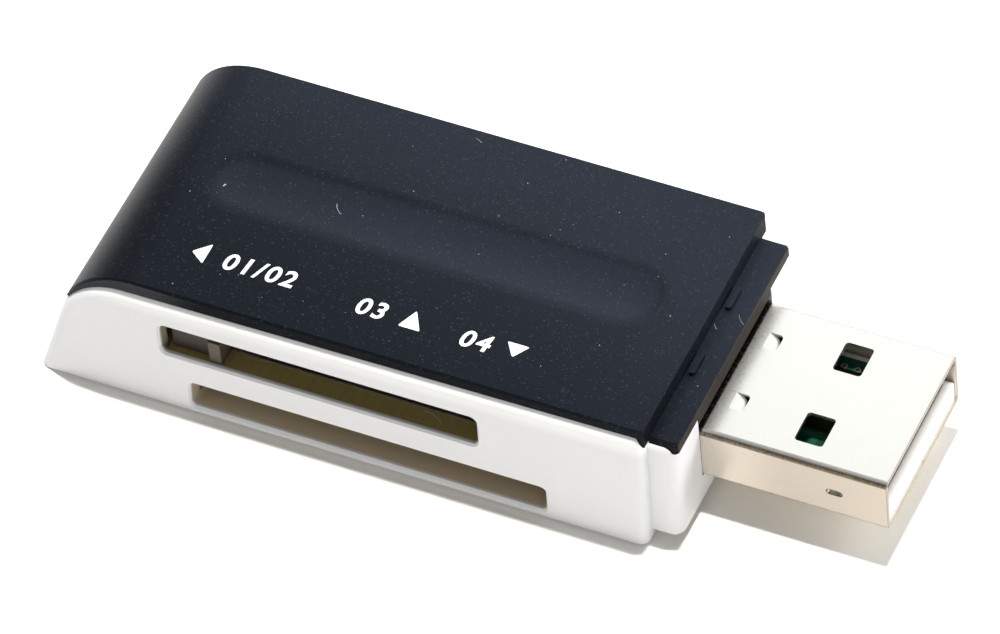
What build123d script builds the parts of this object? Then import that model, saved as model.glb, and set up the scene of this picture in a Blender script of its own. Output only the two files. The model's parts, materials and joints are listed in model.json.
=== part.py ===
"""Pocket card reader with a standard plug, two side slots and two rear slots."""
import os
from math import cos, radians, tan

from build123d import *

os.makedirs("parts", exist_ok=True)

# Overall body
# +X runs out of the plug, -Y is the side with the two long slots, Z is up.
overall_length = 59.5
plug_reach = 13.1
body_height = 10.8
foot_half_width = 10.95
wall_draft = 2.4
rear_slope = 18.6
lean = tan(radians(wall_draft))
rake = tan(radians(rear_slope))
body_length = overall_length - plug_reach
cut_margin = 1.0
pick_gap = 0.1

# Housing walls and rounds
side_wall = 1.35
front_wall = 1.2
shoulder_wall = 1.44
rear_wall = 1.4 / cos(radians(rear_slope))
floor = 0.8
rim_round = 5.2
rim_fillet = 0.75
corner_round = 0.7
foot_bevel = 0.15
mouth_bevel = 0.15
inner_half_width = foot_half_width - side_wall

# Stations along the length
neck_length = 2.0
mouth_x = overall_length / 2
rear_foot_x = -overall_length / 2
neck_front_x = mouth_x - plug_reach
shoulder_x = neck_front_x - neck_length
shoulder_wall_x = shoulder_x - shoulder_wall

# Cover, thicker at the rear than at the front, with a wedge that laps the shoulder
cover_thickness = 1.15
cover_front_thickness = 0.65
cover_inset = 0.7
cover_round = 5.8
cover_tail = 3.4
cover_corner_round = 0.3
cover_edge_bevel = 0.15
wedge_run = 0.45
wedge_lap = 0.2
rim_height = body_height - cover_thickness
rim_front_z = body_height - cover_front_thickness
cover_half_width = foot_half_width - cover_inset
cover_tail_z = body_height - cover_tail

# Neck
neck_step = 1.5
neck_inset = 1.05
neck_foot_z = 0.7
neck_floor = 1.0
neck_side_wall = 1.3
neck_corner_round = 1.0
neck_foot_half_width = foot_half_width - neck_inset
neck_inner_half_width = neck_foot_half_width - neck_side_wall
neck_floor_z = neck_foot_z + neck_floor

# Sheet of the cover that closes the neck
neck_sheet_thickness = 0.9
neck_sheet_inset = 0.6
neck_sheet_proud = 0.2
neck_sheet_bevel = 0.2
neck_sheet_corner = 0.2
neck_sheet_lap = 0.4
seat_clearance = 0.05
neck_sheet_top = body_height - neck_step
neck_sheet_foot = neck_sheet_top - neck_sheet_thickness
neck_sheet_half_width = neck_foot_half_width - neck_sheet_inset
neck_sheet_back_x = shoulder_wall_x - neck_sheet_lap
neck_rim_z = neck_sheet_top - neck_sheet_proud
wedge_foot_z = neck_sheet_top - wedge_lap

# Ribs on the neck sheet
rib_length = 2.0
rib_width = 0.45
rib_height = 0.3
rib_setback = 1.55
rib_spread = 6.0
rib_offset = 0.55

# Scooped finger recess
recess_width = 5.2
recess_depth = 0.32
recess_offset = 0.45
recess_round = 2.0
recess_rear_gap = 8.4
recess_front_gap = 3.1
recess_rear_x = rear_foot_x + recess_rear_gap
recess_front_x = shoulder_x - recess_front_gap
scoop_radius = (recess_width**2 / 4 + recess_depth**2) / (2 * recess_depth)

# Plateau, locating lip and clamp under the cover
plateau_depth = 0.25
lip_width = 0.7
lip_clearance = 0.1
lip_rise = 0.2
clamp_length = 1.0
clamp_inset = 1.5
clamp_setback = 0.3
rest_length = 0.9
rest_inset = 1.0
rest_reach = 0.35

# Standard plug, its middle a little below the middle of the body
plug_drop = 0.45
shell_width = 12.0
shell_height = 4.5
shell_sheet = 0.3
shell_fold = 0.4
shell_length = 17.0
shell_clearance = 0.05
seam_gap = 0.08
seam_key = 1.6
key_setbacks = (3.0, 10.5)
window_length = 2.0
window_width = 2.5
window_round = 0.25
window_setback = 6.1
window_pitch = 6.4
lance_length = 1.6
lance_width = 1.4
lance_corner = 0.3
lance_bend = 0.6
lance_drop = 0.45
lance_pitch = 5.5
lance_start = 0.4
lance_root = 0.3
lance_gap = 0.1
lance_shear = 0.02
dimple_length = 1.2
dimple_height = 0.55
dimple_setback = 3.7
plug_middle_z = body_height / 2 - plug_drop
shell_foot_z = plug_middle_z - shell_height / 2
shell_top_z = plug_middle_z + shell_height / 2
shell_back_x = mouth_x - shell_length

# Tab of the cover above the plug
tab_share = 0.53
tab_gap = 0.12
tab_foot_z = shell_top_z + tab_share * (neck_sheet_foot - shell_top_z)

# Board
board_thickness = 1.0
board_edge_gap = 0.1
board_rear_gap = 3.6
board_front_gap = 1.0
board_corner = 0.6
tongue_inset = 1.0
tongue_setback = 1.05
pad_width = 1.0
pad_length = 7.6
pad_corner = 0.15
pad_setback = 0.3
pad_thickness = 0.06
pad_ys = (-3.5, -1.0, 1.0, 3.5)
board_top_z = plug_middle_z
board_foot_z = board_top_z - board_thickness
board_half_width = inner_half_width - board_edge_gap
board_rear_x = rear_foot_x + board_rear_gap
board_front_x = shoulder_wall_x - board_front_gap
tongue_half_width = shell_width / 2 - tongue_inset
tongue_end_x = mouth_x - tongue_setback

# Plug carrier
carrier_clearance = 0.05
carrier_lip = 0.5
carrier_setback = 0.12
carrier_round = 0.5
carrier_nose = 0.4
carrier_lead = 0.4

# Board posts and locating pins
post_diameter = 2.4
pin_diameter = 1.0
pin_clearance = 0.1
post_inset = 1.4
rear_post_gap = 3.0
front_post_gap = 1.8
post_y = inner_half_width - post_inset
post_xs = (board_rear_x + rear_post_gap, board_front_x - front_post_gap)
post_places = [(post_xs[0], -post_y), (post_xs[1], post_y)]

# Leaf contacts
leaf_sheet = 0.15
leaf_width = 0.8
leaf_side_gap = 0.1
groove_width = leaf_width + 2 * leaf_side_gap

# Wide card slot, below the board
wide_card_thickness = 2.1
wide_card_gap = 0.04
wide_slot_share = 0.557
wide_place_share = 0.5238
wide_slot_foot_z = 0.62
wide_slot_round = 0.4
wide_stop_gap = 2.0
wide_block_depth = 5.0
wide_block_gap = 0.1
wide_leaves_count = 9
wide_leaf_run = 1.3
wide_leaf_reach = 2.8
wide_leaf_tip = 0.8
wide_leaf_drop = 0.85
wide_slot_length = wide_slot_share * body_length
wide_slot_height = wide_card_thickness + 2 * wide_card_gap
wide_slot_top_z = wide_slot_foot_z + wide_slot_height
wide_slot_x = rear_foot_x + wide_place_share * body_length
wide_stop_y = inner_half_width - wide_stop_gap
wide_block_y = wide_stop_y - wide_block_depth
wide_pitch = wide_slot_length / (wide_leaves_count + 1.5)

# Narrow card slot, above the board
narrow_card_thickness = 1.6
narrow_card_gap = 0.4
narrow_slot_share = 0.4968
narrow_place_share = 0.4531
narrow_slot_rise = 0.1
narrow_slot_round = 0.5
narrow_wing = 4.25
narrow_stop_gap = 3.2
narrow_head_room = 0.4
narrow_leaves_count = 10
narrow_leaf_run = 1.9
narrow_leaf_reach = 2.3
narrow_leaf_tip = 0.7
narrow_leaf_rise = 0.9
narrow_groove_length = 3.2
lip_skin = 0.43
board_tab_gap = 0.08
board_tab_inset = 0.2
wall_relief_gap = 0.5
narrow_slot_length = narrow_slot_share * body_length
guide_sheet = 0.2
narrow_slot_height = narrow_card_thickness + guide_sheet + 2 * narrow_card_gap
narrow_slot_x = rear_foot_x + narrow_place_share * body_length
narrow_slot_foot_z = board_top_z + narrow_slot_rise
narrow_slot_z = narrow_slot_foot_z + narrow_slot_height / 2
narrow_right_x = narrow_slot_x + narrow_slot_length / 2
narrow_left_x = narrow_slot_x - narrow_slot_length / 2 + narrow_wing
narrow_bay_x = (narrow_left_x + narrow_right_x) / 2
narrow_bay = narrow_right_x - narrow_left_x
narrow_pitch = narrow_bay / (narrow_leaves_count + 2)
narrow_stop_y = inner_half_width - narrow_stop_gap

# Frame, guide plate and lid of the narrow slot
rail_width = 0.85
rail_gap = 0.1
rail_inset = 0.4
frame_gap = 0.05
nose_reach = 0.7
nose_drop = 0.7
wing_length = 2.8
wing_depth = 2.2
wing_lift = 0.15
wing_setback = 0.35
guide_front_gap = 0.7
guide_back_gap = 4.0
guide_window = (7.0, 6.0)
guide_inset = 0.1
lid_front_gap = 2.0
lid_back_gap = 0.8
lid_inset = 0.1
lid_corner = 0.5
lid_slot = (7.0, 1.2)
frame_top_z = narrow_slot_foot_z + narrow_slot_height + narrow_head_room
frame_front_y = frame_gap - inner_half_width
lid_top_z = frame_top_z + guide_sheet
lip_depth = rim_height - lid_top_z - lip_rise

# Rear slots, one below and one above the board
post_room = 0.75
upper_card = (2 * (post_y - post_diameter / 2 - post_room), 1.2)
lower_card = (upper_card[0] - 2 * post_room, 1.0)
rear_mouth_gap = (0.4, 0.15)
rear_slot_bevel = 0.2
socket_setback = 4.0
socket_gap = 0.25
socket_sheet = 0.2
socket_base = 0.35
socket_stop = 1.0
socket_groove_start = 1.3
socket_groove_end = 1.3
socket_leaf_width = 0.45
socket_groove_width = 0.65
socket_leaf_run = 1.1
socket_leaf_reach = 2.0
socket_leaf_tip = 0.6
socket_leaf_rise = 0.45
socket_leaf_dip = 0.1
lower_leaves_count = 8
upper_leaves_count = 11
card_clearance = 0.1
socket_rear_x = rear_foot_x + socket_setback
wide_left_x = wide_slot_x - wide_slot_length / 2
socket_front_x = min(narrow_left_x - rail_width, wide_left_x) - socket_gap
socket_depth = socket_front_x - socket_rear_x
socket_x = (socket_rear_x + socket_front_x) / 2
groove_front_x = socket_front_x - socket_groove_end
groove_rear_x = socket_rear_x + socket_groove_start
groove_x = (groove_front_x + groove_rear_x) / 2
lower_slot_z = board_foot_z - socket_sheet - card_clearance - lower_card[1] / 2
upper_slot_z = board_top_z + socket_base + card_clearance + upper_card[1] / 2

# Chip and small components, spread evenly across the board
chip_size = (4.4, 7.8, 1.1)
chip_standoff = 0.1
chip_bevel = 0.12
lead_pitch = 0.65
lead_count = 10
lead_width = 0.28
lead_sheet = 0.15
lead_span = 6.4
lead_height = 0.6
lead_shoulder = 0.3
lead_slope = 0.12
crystal_base = (3.2, 2.5, 0.4)
crystal_cap = (2.8, 2.1, 0.35)
crystal_corner = 0.25
crystal_shift = 1.2
capacitor_size = (0.8, 1.6, 0.8)
capacitor_pitch = 1.3
resistor_size = (1.6, 0.8, 0.45)
resistor_pitch = 2.2
part_edge_gap = 0.8
parts_depth = crystal_base[1] + resistor_size[1] + chip_size[1] + capacitor_size[1] + 2 * part_edge_gap
part_gap = (2 * board_half_width - parts_depth) / 4
crystal_y = part_edge_gap + crystal_base[1] / 2 - board_half_width
resistor_y = crystal_y + crystal_base[1] / 2 + part_gap + resistor_size[1] / 2
chip_y = resistor_y + resistor_size[1] / 2 + part_gap + chip_size[1] / 2
capacitor_y = chip_y + chip_size[1] / 2 + part_gap + capacitor_size[1] / 2
chip_x = (narrow_right_x + rail_gap + rail_width + board_front_x) / 2


# Bottom housing: drafted tray with a stepped neck and a raked rear end
with BuildSketch(Plane.XZ) as housing_side:
    Polygon(
        (rear_foot_x, 0),
        (shoulder_x, 0),
        (shoulder_x, rim_front_z),
        (rear_foot_x + rim_height * rake, rim_height),
        align=None,
    )
    fillet(housing_side.vertices().group_by(Axis.Y)[-2], rim_round)
with BuildSketch(Plane.XZ) as wedge_side:
    Polygon(
        (shoulder_x - wedge_run, rim_front_z),
        (shoulder_x, rim_front_z),
        (shoulder_x, wedge_foot_z),
        align=None,
    )

with BuildPart() as housing:
    wall_y = foot_half_width - body_height * lean - pick_gap
    with BuildSketch(Plane.YZ.offset(rear_foot_x - cut_margin)) as body_section:
        Polygon(
            (-foot_half_width, 0),
            (foot_half_width, 0),
            (foot_half_width - body_height * lean, body_height),
            (body_height * lean - foot_half_width, body_height),
            align=None,
        )
    extrude(amount=overall_length)
    extrude(housing_side.sketch, amount=foot_half_width + cut_margin, both=True, mode=Mode.INTERSECT)
    shoulder_edges = housing.edges().filter_by(
        lambda e: e.center().X > shoulder_x - pick_gap
        and abs(e.center().Y) > wall_y
        and e.length > rim_height / 2
    )
    fillet(shoulder_edges, corner_round)
    rim_edges = housing.edges().filter_by(
        lambda e: e.center().Z > body_height / 2
        and abs(e.center().Y) > wall_y
        and e.length > body_length / 2
    )
    fillet(rim_edges, rim_fillet)
    chamfer(housing.faces().sort_by(Axis.Z)[0].edges(), foot_bevel)
    extrude(wedge_side.sketch, amount=foot_half_width, both=True, mode=Mode.SUBTRACT)
    with BuildSketch(Plane.YZ.offset(shoulder_wall_x)) as neck_section:
        neck_top_half_width = neck_foot_half_width - (neck_rim_z - neck_foot_z) * lean
        Polygon(
            (-neck_foot_half_width, neck_foot_z),
            (neck_foot_half_width, neck_foot_z),
            (neck_top_half_width, neck_rim_z),
            (-neck_top_half_width, neck_rim_z),
            align=None,
        )
        fillet(neck_section.vertices().group_by(Axis.Y)[-1], rim_fillet)
        chamfer(neck_section.vertices().group_by(Axis.Y)[0], foot_bevel)
    extrude(amount=neck_front_x - shoulder_wall_x)
    neck_edges = housing.edges().filter_by(
        lambda e: abs(e.center().X - neck_front_x) < pick_gap
        and abs(e.center().Y) > neck_top_half_width - pick_gap
        and e.length > rim_height / 2
    )
    fillet(neck_edges, neck_corner_round)

    # Inside of the tray and of the neck
    with BuildSketch(Plane.XZ) as tray_side:
        Polygon(
            (rear_foot_x + rear_wall + floor * rake, floor),
            (shoulder_wall_x, floor),
            (shoulder_wall_x, body_height),
            (rear_foot_x + rear_wall + body_height * rake, body_height),
            align=None,
        )
    extrude(amount=inner_half_width, both=True, mode=Mode.SUBTRACT)
    neck_inside_x = neck_front_x - front_wall
    neck_open_x = shoulder_wall_x - cut_margin
    with BuildSketch(Plane.XY.offset(neck_floor_z)) as neck_inside:
        with Locations(((neck_open_x + neck_inside_x) / 2, 0)):
            Rectangle(neck_inside_x - neck_open_x, 2 * neck_inner_half_width)
    extrude(amount=body_height, mode=Mode.SUBTRACT)
    with BuildSketch(Plane.XY.offset(neck_sheet_foot)) as sheet_seat:
        seat_back_x = neck_sheet_back_x - seat_clearance
        seat_front_x = neck_front_x + cut_margin
        with Locations(((seat_back_x + seat_front_x) / 2, 0)):
            Rectangle(seat_front_x - seat_back_x, 2 * (neck_sheet_half_width + seat_clearance))
    extrude(amount=body_height, mode=Mode.SUBTRACT)
    with BuildSketch(Plane.XY.offset(shell_foot_z)) as plug_opening:
        with Locations((neck_front_x, 0)):
            Rectangle(2 * front_wall + cut_margin / 2, shell_width + 2 * shell_clearance)
    extrude(amount=body_height, mode=Mode.SUBTRACT)

    # Rest under the inner end of the plug shell
    with BuildSketch(Plane.XY.offset(floor)) as shell_rest:
        with Locations((shoulder_wall_x + rest_reach - rest_length / 2, 0)):
            Rectangle(rest_length, shell_width - 2 * rest_inset)
    extrude(amount=shell_foot_z - floor)

    # Wide slot with its channel in the floor
    with BuildSketch(Plane.XZ.offset(-wide_stop_y)) as wide_mouth:
        with Locations((wide_slot_x, wide_slot_foot_z + wide_slot_height / 2)):
            RectangleRounded(wide_slot_length, wide_slot_height, wide_slot_round)
    extrude(amount=wide_stop_y + foot_half_width + cut_margin, mode=Mode.SUBTRACT)

    # Narrow slot, with the wall thinned below it for the board edge
    relief_y = inner_half_width - wall_relief_gap
    skin_y = foot_half_width - narrow_slot_foot_z * lean - lip_skin
    with BuildSketch(Plane.XZ.offset(relief_y)) as narrow_mouth:
        with Locations((narrow_slot_x, narrow_slot_z)):
            RectangleRounded(narrow_slot_length, narrow_slot_height, narrow_slot_round)
    extrude(amount=foot_half_width + cut_margin - relief_y, mode=Mode.SUBTRACT)
    with BuildSketch(Plane.XZ.offset(relief_y)) as wall_relief:
        with Locations((narrow_slot_x, (board_foot_z - board_tab_gap + narrow_slot_z) / 2)):
            Rectangle(narrow_slot_length, narrow_slot_z - board_foot_z + board_tab_gap)
    extrude(amount=skin_y - relief_y, mode=Mode.SUBTRACT)
    mouth_edges = housing.edges().filter_by(
        lambda e: e.center().Y < -wall_y
        and abs(e.center().X - wide_slot_x) < wide_slot_length / 2 + corner_round
        and wide_slot_foot_z - pick_gap < e.center().Z < narrow_slot_foot_z + narrow_slot_height + pick_gap
    )
    chamfer(mouth_edges, mouth_bevel)

    # Two rear slots
    with BuildSketch(Plane.YZ.offset(rear_foot_x - cut_margin)) as rear_mouths:
        with Locations((0, lower_slot_z)):
            Rectangle(lower_card[0] + 2 * rear_mouth_gap[0], lower_card[1] + 2 * rear_mouth_gap[1])
        with Locations((0, upper_slot_z)):
            Rectangle(upper_card[0] + 2 * rear_mouth_gap[0], upper_card[1] + 2 * rear_mouth_gap[1])
        chamfer(rear_mouths.vertices(), rear_slot_bevel)
    extrude(amount=socket_rear_x - rear_foot_x + cut_margin, mode=Mode.SUBTRACT)

    # Board posts with locating pins
    with BuildSketch(Plane.XY.offset(floor)) as posts:
        with Locations(post_places):
            Circle(post_diameter / 2)
    extrude(amount=board_foot_z - floor)
    with BuildSketch(Plane.XY.offset(board_foot_z)) as pins:
        with Locations(post_places):
            Circle(pin_diameter / 2)
    extrude(amount=board_thickness)
housing.part.label = "bottom_housing"
export_step(housing.part, "parts/bottom_housing.step")


# Top cover: crescent slab over the rim, stepped neck sheet and tab over the plug
with BuildSketch(Plane.XZ) as cover_side:
    Polygon(
        (rear_foot_x, 0),
        (shoulder_x, 0),
        (shoulder_x, body_height),
        (rear_foot_x + body_height * rake, body_height),
        align=None,
    )
    fillet(cover_side.vertices().group_by(Axis.Y)[-1].sort_by(Axis.X)[0], cover_round)
    add(housing_side.sketch, mode=Mode.SUBTRACT)
    add(wedge_side.sketch)
    with Locations((0, cover_tail_z / 2)):
        Rectangle(2 * overall_length, cover_tail_z, mode=Mode.SUBTRACT)

with BuildPart() as cover:
    extrude(cover_side.sketch, amount=cover_half_width, both=True)
    front_corners = cover.edges().filter_by(
        lambda e: e.center().X > shoulder_x - pick_gap
        and abs(e.center().Y) > cover_half_width - pick_gap
        and e.length > cover_front_thickness
    )
    fillet(front_corners, cover_corner_round)
    top_edges = cover.edges().filter_by(
        lambda e: abs(e.center().Z - body_height) < pick_gap and e.center().X > rear_foot_x + body_length / 4
    )
    chamfer(top_edges, cover_edge_bevel)

    # Scooped finger recess, a cylinder with a ball at each end
    scoop_z = body_height + scoop_radius - recess_depth
    scoop_run = recess_front_x - recess_rear_x - recess_width
    with Locations(((recess_front_x + recess_rear_x) / 2, recess_offset, scoop_z)):
        Cylinder(scoop_radius, scoop_run, rotation=(0, 90, 0), mode=Mode.SUBTRACT)
        with GridLocations(scoop_run, 1, 2, 1):
            Sphere(scoop_radius, mode=Mode.SUBTRACT)
    recess_edges = cover.edges().filter_by(
        lambda e: abs(e.center().Z - body_height) < pick_gap
        and abs(e.center().Y - recess_offset) < recess_width / 2 + pick_gap
        and recess_rear_x - pick_gap < e.center().X < recess_front_x + pick_gap
    )
    fillet(recess_edges, recess_round)

    # Neck sheet with two raised ribs and the tab above the plug
    with BuildSketch(Plane.XY.offset(neck_sheet_top - neck_sheet_bevel)) as neck_sheet:
        with Locations(((neck_sheet_back_x + neck_front_x) / 2, 0)):
            Rectangle(neck_front_x - neck_sheet_back_x, 2 * neck_sheet_half_width)
        chamfer(neck_sheet.vertices().group_by(Axis.X)[-1], neck_sheet_corner)
    extrude(amount=neck_sheet_bevel - neck_sheet_thickness)
    extrude(neck_sheet.sketch, amount=neck_sheet_bevel, taper=45)
    with BuildSketch(Plane.XY.offset(neck_sheet_foot)) as riser:
        with Locations(((neck_sheet_back_x + shoulder_x) / 2, 0)):
            Rectangle(shoulder_x - neck_sheet_back_x, 2 * neck_sheet_half_width)
    extrude(amount=rim_front_z - neck_sheet_foot)
    with BuildSketch(Plane.XY.offset(neck_sheet_top)) as ribs:
        with Locations((neck_front_x - rib_setback, rib_offset)):
            with GridLocations(1, rib_spread, 1, 2):
                SlotOverall(rib_length, rib_width, rotation=90)
    extrude(amount=rib_height)
    tab_half_width = shell_width / 2 + shell_clearance - tab_gap
    with BuildSketch(Plane.XY.offset(tab_foot_z)) as tab:
        with Locations((neck_front_x - front_wall / 2, 0)):
            Rectangle(front_wall, 2 * tab_half_width)
    extrude(amount=neck_sheet_foot - tab_foot_z)

    # Clamp over the inner end of the plug shell
    with BuildSketch(Plane.XY.offset(shell_top_z)) as clamp:
        with Locations((neck_sheet_back_x + clamp_setback + clamp_length / 2, 0)):
            Rectangle(clamp_length, shell_width - 2 * clamp_inset)
    extrude(amount=neck_sheet_foot - shell_top_z)

    # Plateau and locating lip inside the side walls, posts that press the board down
    lip_front_x = neck_sheet_back_x
    lip_back_x = post_xs[0] + pin_diameter / 2
    lip_y = inner_half_width - lip_clearance - lip_width / 2
    with BuildSketch(Plane.XY.offset(rim_height - plateau_depth)) as plateau:
        with Locations(((lip_front_x + lip_back_x) / 2, 0)):
            Rectangle(lip_front_x - lip_back_x, 2 * lip_y + lip_width)
    extrude(amount=plateau_depth + cover_thickness - cover_front_thickness)
    with BuildSketch(Plane.XY.offset(rim_height)) as lips:
        with Locations([((lip_front_x + lip_back_x) / 2, s * lip_y) for s in (-1, 1)]):
            Rectangle(lip_front_x - lip_back_x, lip_width)
    extrude(amount=-lip_depth)
    with BuildSketch(Plane.XY.offset(rim_height)) as press_posts:
        with Locations(post_places):
            Circle(post_diameter / 2)
    extrude(amount=board_top_z - rim_height)
cover.part.label = "top_cover"
export_step(cover.part, "parts/top_cover.step")


# Tongue of a plug lance, pressed down at its free end
lance_x = neck_front_x + lance_start
lance_tip_x = lance_x + lance_length - lance_gap
with BuildPart() as lance:
    with BuildSketch(Plane.XZ) as lance_side:
        Polygon(
            (lance_x - lance_root, shell_top_z),
            (lance_x + lance_bend, shell_top_z),
            (lance_tip_x, shell_top_z - lance_drop),
            (lance_tip_x, shell_top_z - lance_drop - shell_sheet),
            (lance_x + lance_bend, shell_top_z - shell_sheet),
            (lance_x - lance_root, shell_top_z - shell_sheet),
            align=None,
        )
    extrude(amount=lance_width, both=True)
    with BuildSketch(Plane.XY.offset(shell_top_z)) as lance_plan:
        with Locations(((lance_x - lance_root + lance_tip_x) / 2, 0)):
            Rectangle(lance_tip_x - lance_x + lance_root, lance_width - lance_shear)
        fillet(lance_plan.vertices().group_by(Axis.X)[-1], lance_width / 2 - lance_gap)
    extrude(amount=-shell_height / 2, mode=Mode.INTERSECT)

# Plug shell: one folded sheet with a keyed seam underneath
with BuildPart() as shell:
    with BuildSketch(Plane.YZ.offset(shell_back_x)) as shell_section:
        with Locations((0, plug_middle_z)):
            RectangleRounded(shell_width, shell_height, shell_fold)
            RectangleRounded(
                shell_width - 2 * shell_sheet,
                shell_height - 2 * shell_sheet,
                shell_fold - shell_sheet,
                mode=Mode.SUBTRACT,
            )
    extrude(amount=shell_length)
    with BuildSketch(Plane.XY.offset(shell_foot_z - shell_sheet / 2)) as seam:
        with Locations((shell_back_x + shell_length / 2, 0)):
            Rectangle(shell_length + cut_margin, seam_gap)
        with Locations([(mouth_x - d, seam_key / 4) for d in key_setbacks]):
            Rectangle(seam_key, seam_key / 2 + seam_gap)
        with Locations([(mouth_x - d, (seam_key - 3 * seam_gap) / 4) for d in key_setbacks]):
            Rectangle(seam_key - 2 * seam_gap, (seam_key + seam_gap) / 2, mode=Mode.SUBTRACT)
    extrude(amount=2 * shell_sheet, mode=Mode.SUBTRACT)
    with BuildSketch(Plane.XY.offset(plug_middle_z)) as top_windows:
        with Locations((mouth_x - window_setback, 0)):
            with GridLocations(window_length, window_pitch, 1, 2):
                RectangleRounded(window_length, window_width, window_round)
    extrude(amount=shell_height, mode=Mode.SUBTRACT)
    with BuildSketch(Plane.XY.offset(plug_middle_z)) as foot_windows:
        with Locations((mouth_x - window_setback, 0)):
            with GridLocations(window_length, window_pitch, 1, 2):
                Rectangle(window_length, window_width)
    extrude(amount=-shell_height, mode=Mode.SUBTRACT)
    with BuildSketch(Plane.XY.offset(shell_top_z)) as lance_holes:
        with Locations((lance_x + lance_length / 2, 0)):
            with GridLocations(1, lance_pitch, 1, 2):
                RectangleRounded(lance_length, lance_width, lance_corner)
    extrude(amount=-shell_sheet, mode=Mode.SUBTRACT)
    with GridLocations(1, lance_pitch, 1, 2):
        add(lance.part)
    with BuildSketch(Plane.XZ.offset(-shell_width)) as dimples:
        with Locations((mouth_x - dimple_setback, plug_middle_z)):
            SlotOverall(dimple_length, dimple_height)
    extrude(amount=2 * shell_width, mode=Mode.SUBTRACT)
shell.part.label = "plug_shell"
export_step(shell.part, "parts/plug_shell.step")


# Plug carrier: plastic tray that fills the lower half of the plug mouth
carrier_half_width = shell_width / 2 - shell_sheet - carrier_clearance
carrier_foot_z = shell_foot_z + shell_sheet
carrier_front_x = mouth_x - carrier_setback
carrier_back_x = shell_back_x + carrier_lead
with BuildPart() as carrier:
    carrier_height = board_top_z - carrier_foot_z
    with BuildSketch(Plane.YZ.offset(carrier_back_x)) as carrier_section:
        with Locations((0, carrier_foot_z + carrier_height / 2)):
            Rectangle(2 * carrier_half_width, carrier_height)
        fillet(carrier_section.vertices().group_by(Axis.Y)[0], shell_fold - shell_sheet)
        fillet(carrier_section.vertices().group_by(Axis.Y)[-1], carrier_round)
    extrude(amount=carrier_front_x - carrier_back_x)
    with BuildSketch(Plane.XZ) as carrier_side:
        with Locations(((carrier_back_x + carrier_front_x) / 2, carrier_foot_z + carrier_height / 2)):
            Rectangle(carrier_front_x - carrier_back_x, carrier_height)
        fillet(carrier_side.vertices().group_by(Axis.Y)[-1].sort_by(Axis.X)[-1], carrier_nose)
    extrude(amount=shell_width, both=True, mode=Mode.INTERSECT)
    with BuildSketch(Plane.XY.offset(board_foot_z)) as board_bed:
        bed_end_x = carrier_front_x - carrier_lip
        bed_start_x = carrier_back_x - cut_margin
        with Locations(((bed_start_x + bed_end_x) / 2, 0)):
            Rectangle(bed_end_x - bed_start_x, 2 * (tongue_half_width + carrier_clearance))
    extrude(amount=board_thickness, mode=Mode.SUBTRACT)
carrier.part.label = "plug_carrier"
export_step(carrier.part, "parts/plug_carrier.step")


# Main board with its tongue into the plug and its near edge out to the slot
with BuildPart() as board:
    with BuildSketch(Plane.XY.offset(board_foot_z)) as board_plan:
        with Locations(((board_rear_x + board_front_x) / 2, 0)):
            Rectangle(board_front_x - board_rear_x, 2 * board_half_width)
        chamfer(board_plan.vertices(), board_corner)
        with Locations(((board_rear_x + tongue_end_x) / 2, 0)):
            Rectangle(tongue_end_x - board_rear_x, 2 * tongue_half_width)
        board_tab_y = skin_y - board_tab_gap
        with Locations((narrow_slot_x, -board_tab_y / 2)):
            Rectangle(narrow_slot_length - 2 * board_tab_inset, board_tab_y)
        with Locations(post_places):
            Circle(pin_diameter / 2 + pin_clearance, mode=Mode.SUBTRACT)
    extrude(amount=board_thickness)
board.part.label = "main_board"
export_step(board.part, "parts/main_board.step")

# Four gold contact pads on the tongue
with BuildPart() as pads:
    with BuildSketch(Plane.XY.offset(board_top_z)) as pad_plan:
        with Locations([(tongue_end_x - pad_setback - pad_length / 2, y) for y in pad_ys]):
            Rectangle(pad_length, pad_width)
        chamfer(pad_plan.vertices(), pad_corner)
    extrude(amount=pad_thickness)
pads.part.label = "plug_contacts"
export_step(pads.part, "parts/plug_contacts.step")


# Wide-card contact block under the far edge of the board
with BuildPart() as wide_block:
    block_foot_z = wide_slot_top_z + wide_block_gap
    block_stop_y = wide_stop_y + frame_gap
    with BuildSketch(Plane.YZ.offset(wide_slot_x)) as wide_block_side:
        Polygon(
            (wide_block_y, board_foot_z),
            (board_half_width, board_foot_z),
            (board_half_width, floor),
            (block_stop_y, floor),
            (block_stop_y, block_foot_z),
            (wide_block_y, block_foot_z),
            align=None,
        )
    extrude(amount=wide_slot_length / 2 - board_tab_inset, both=True)
    with BuildSketch(Plane.XY.offset(board_foot_z)) as wide_grooves:
        wide_groove = wide_leaf_run + wide_leaf_reach / 2
        with Locations((wide_slot_x, wide_block_y + wide_groove / 2)):
            with GridLocations(wide_pitch, 1, wide_leaves_count, 1):
                Rectangle(groove_width, wide_groove)
    extrude(amount=block_foot_z - board_foot_z, mode=Mode.SUBTRACT)
wide_block.part.label = "wide_card_block"
export_step(wide_block.part, "parts/wide_card_block.step")

with BuildPart() as wide_leaf:
    wide_leaf_y = wide_block_y + wide_groove - leaf_side_gap
    wide_leaf_z = board_foot_z - leaf_sheet / 2
    wide_bow_y = wide_leaf_y - wide_leaf_run - wide_leaf_reach
    with BuildSketch(Plane.YZ) as wide_leaf_side:
        with BuildLine():
            Polyline(
                (wide_leaf_y, wide_leaf_z),
                (wide_leaf_y - wide_leaf_run, wide_leaf_z),
                (wide_bow_y, wide_slot_top_z - wide_leaf_drop),
                (wide_bow_y - wide_leaf_tip, wide_slot_top_z - wide_leaf_drop / 3),
            )
        trace(line_width=leaf_sheet)
    extrude(amount=leaf_width / 2, both=True)
with BuildPart() as wide_leaves:
    with Locations((wide_slot_x, 0)):
        with GridLocations(wide_pitch, 1, wide_leaves_count, 1):
            add(wide_leaf.part)
wide_leaves.part.label = "wide_card_contacts"
export_step(wide_leaves.part, "parts/wide_card_contacts.step")


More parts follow.
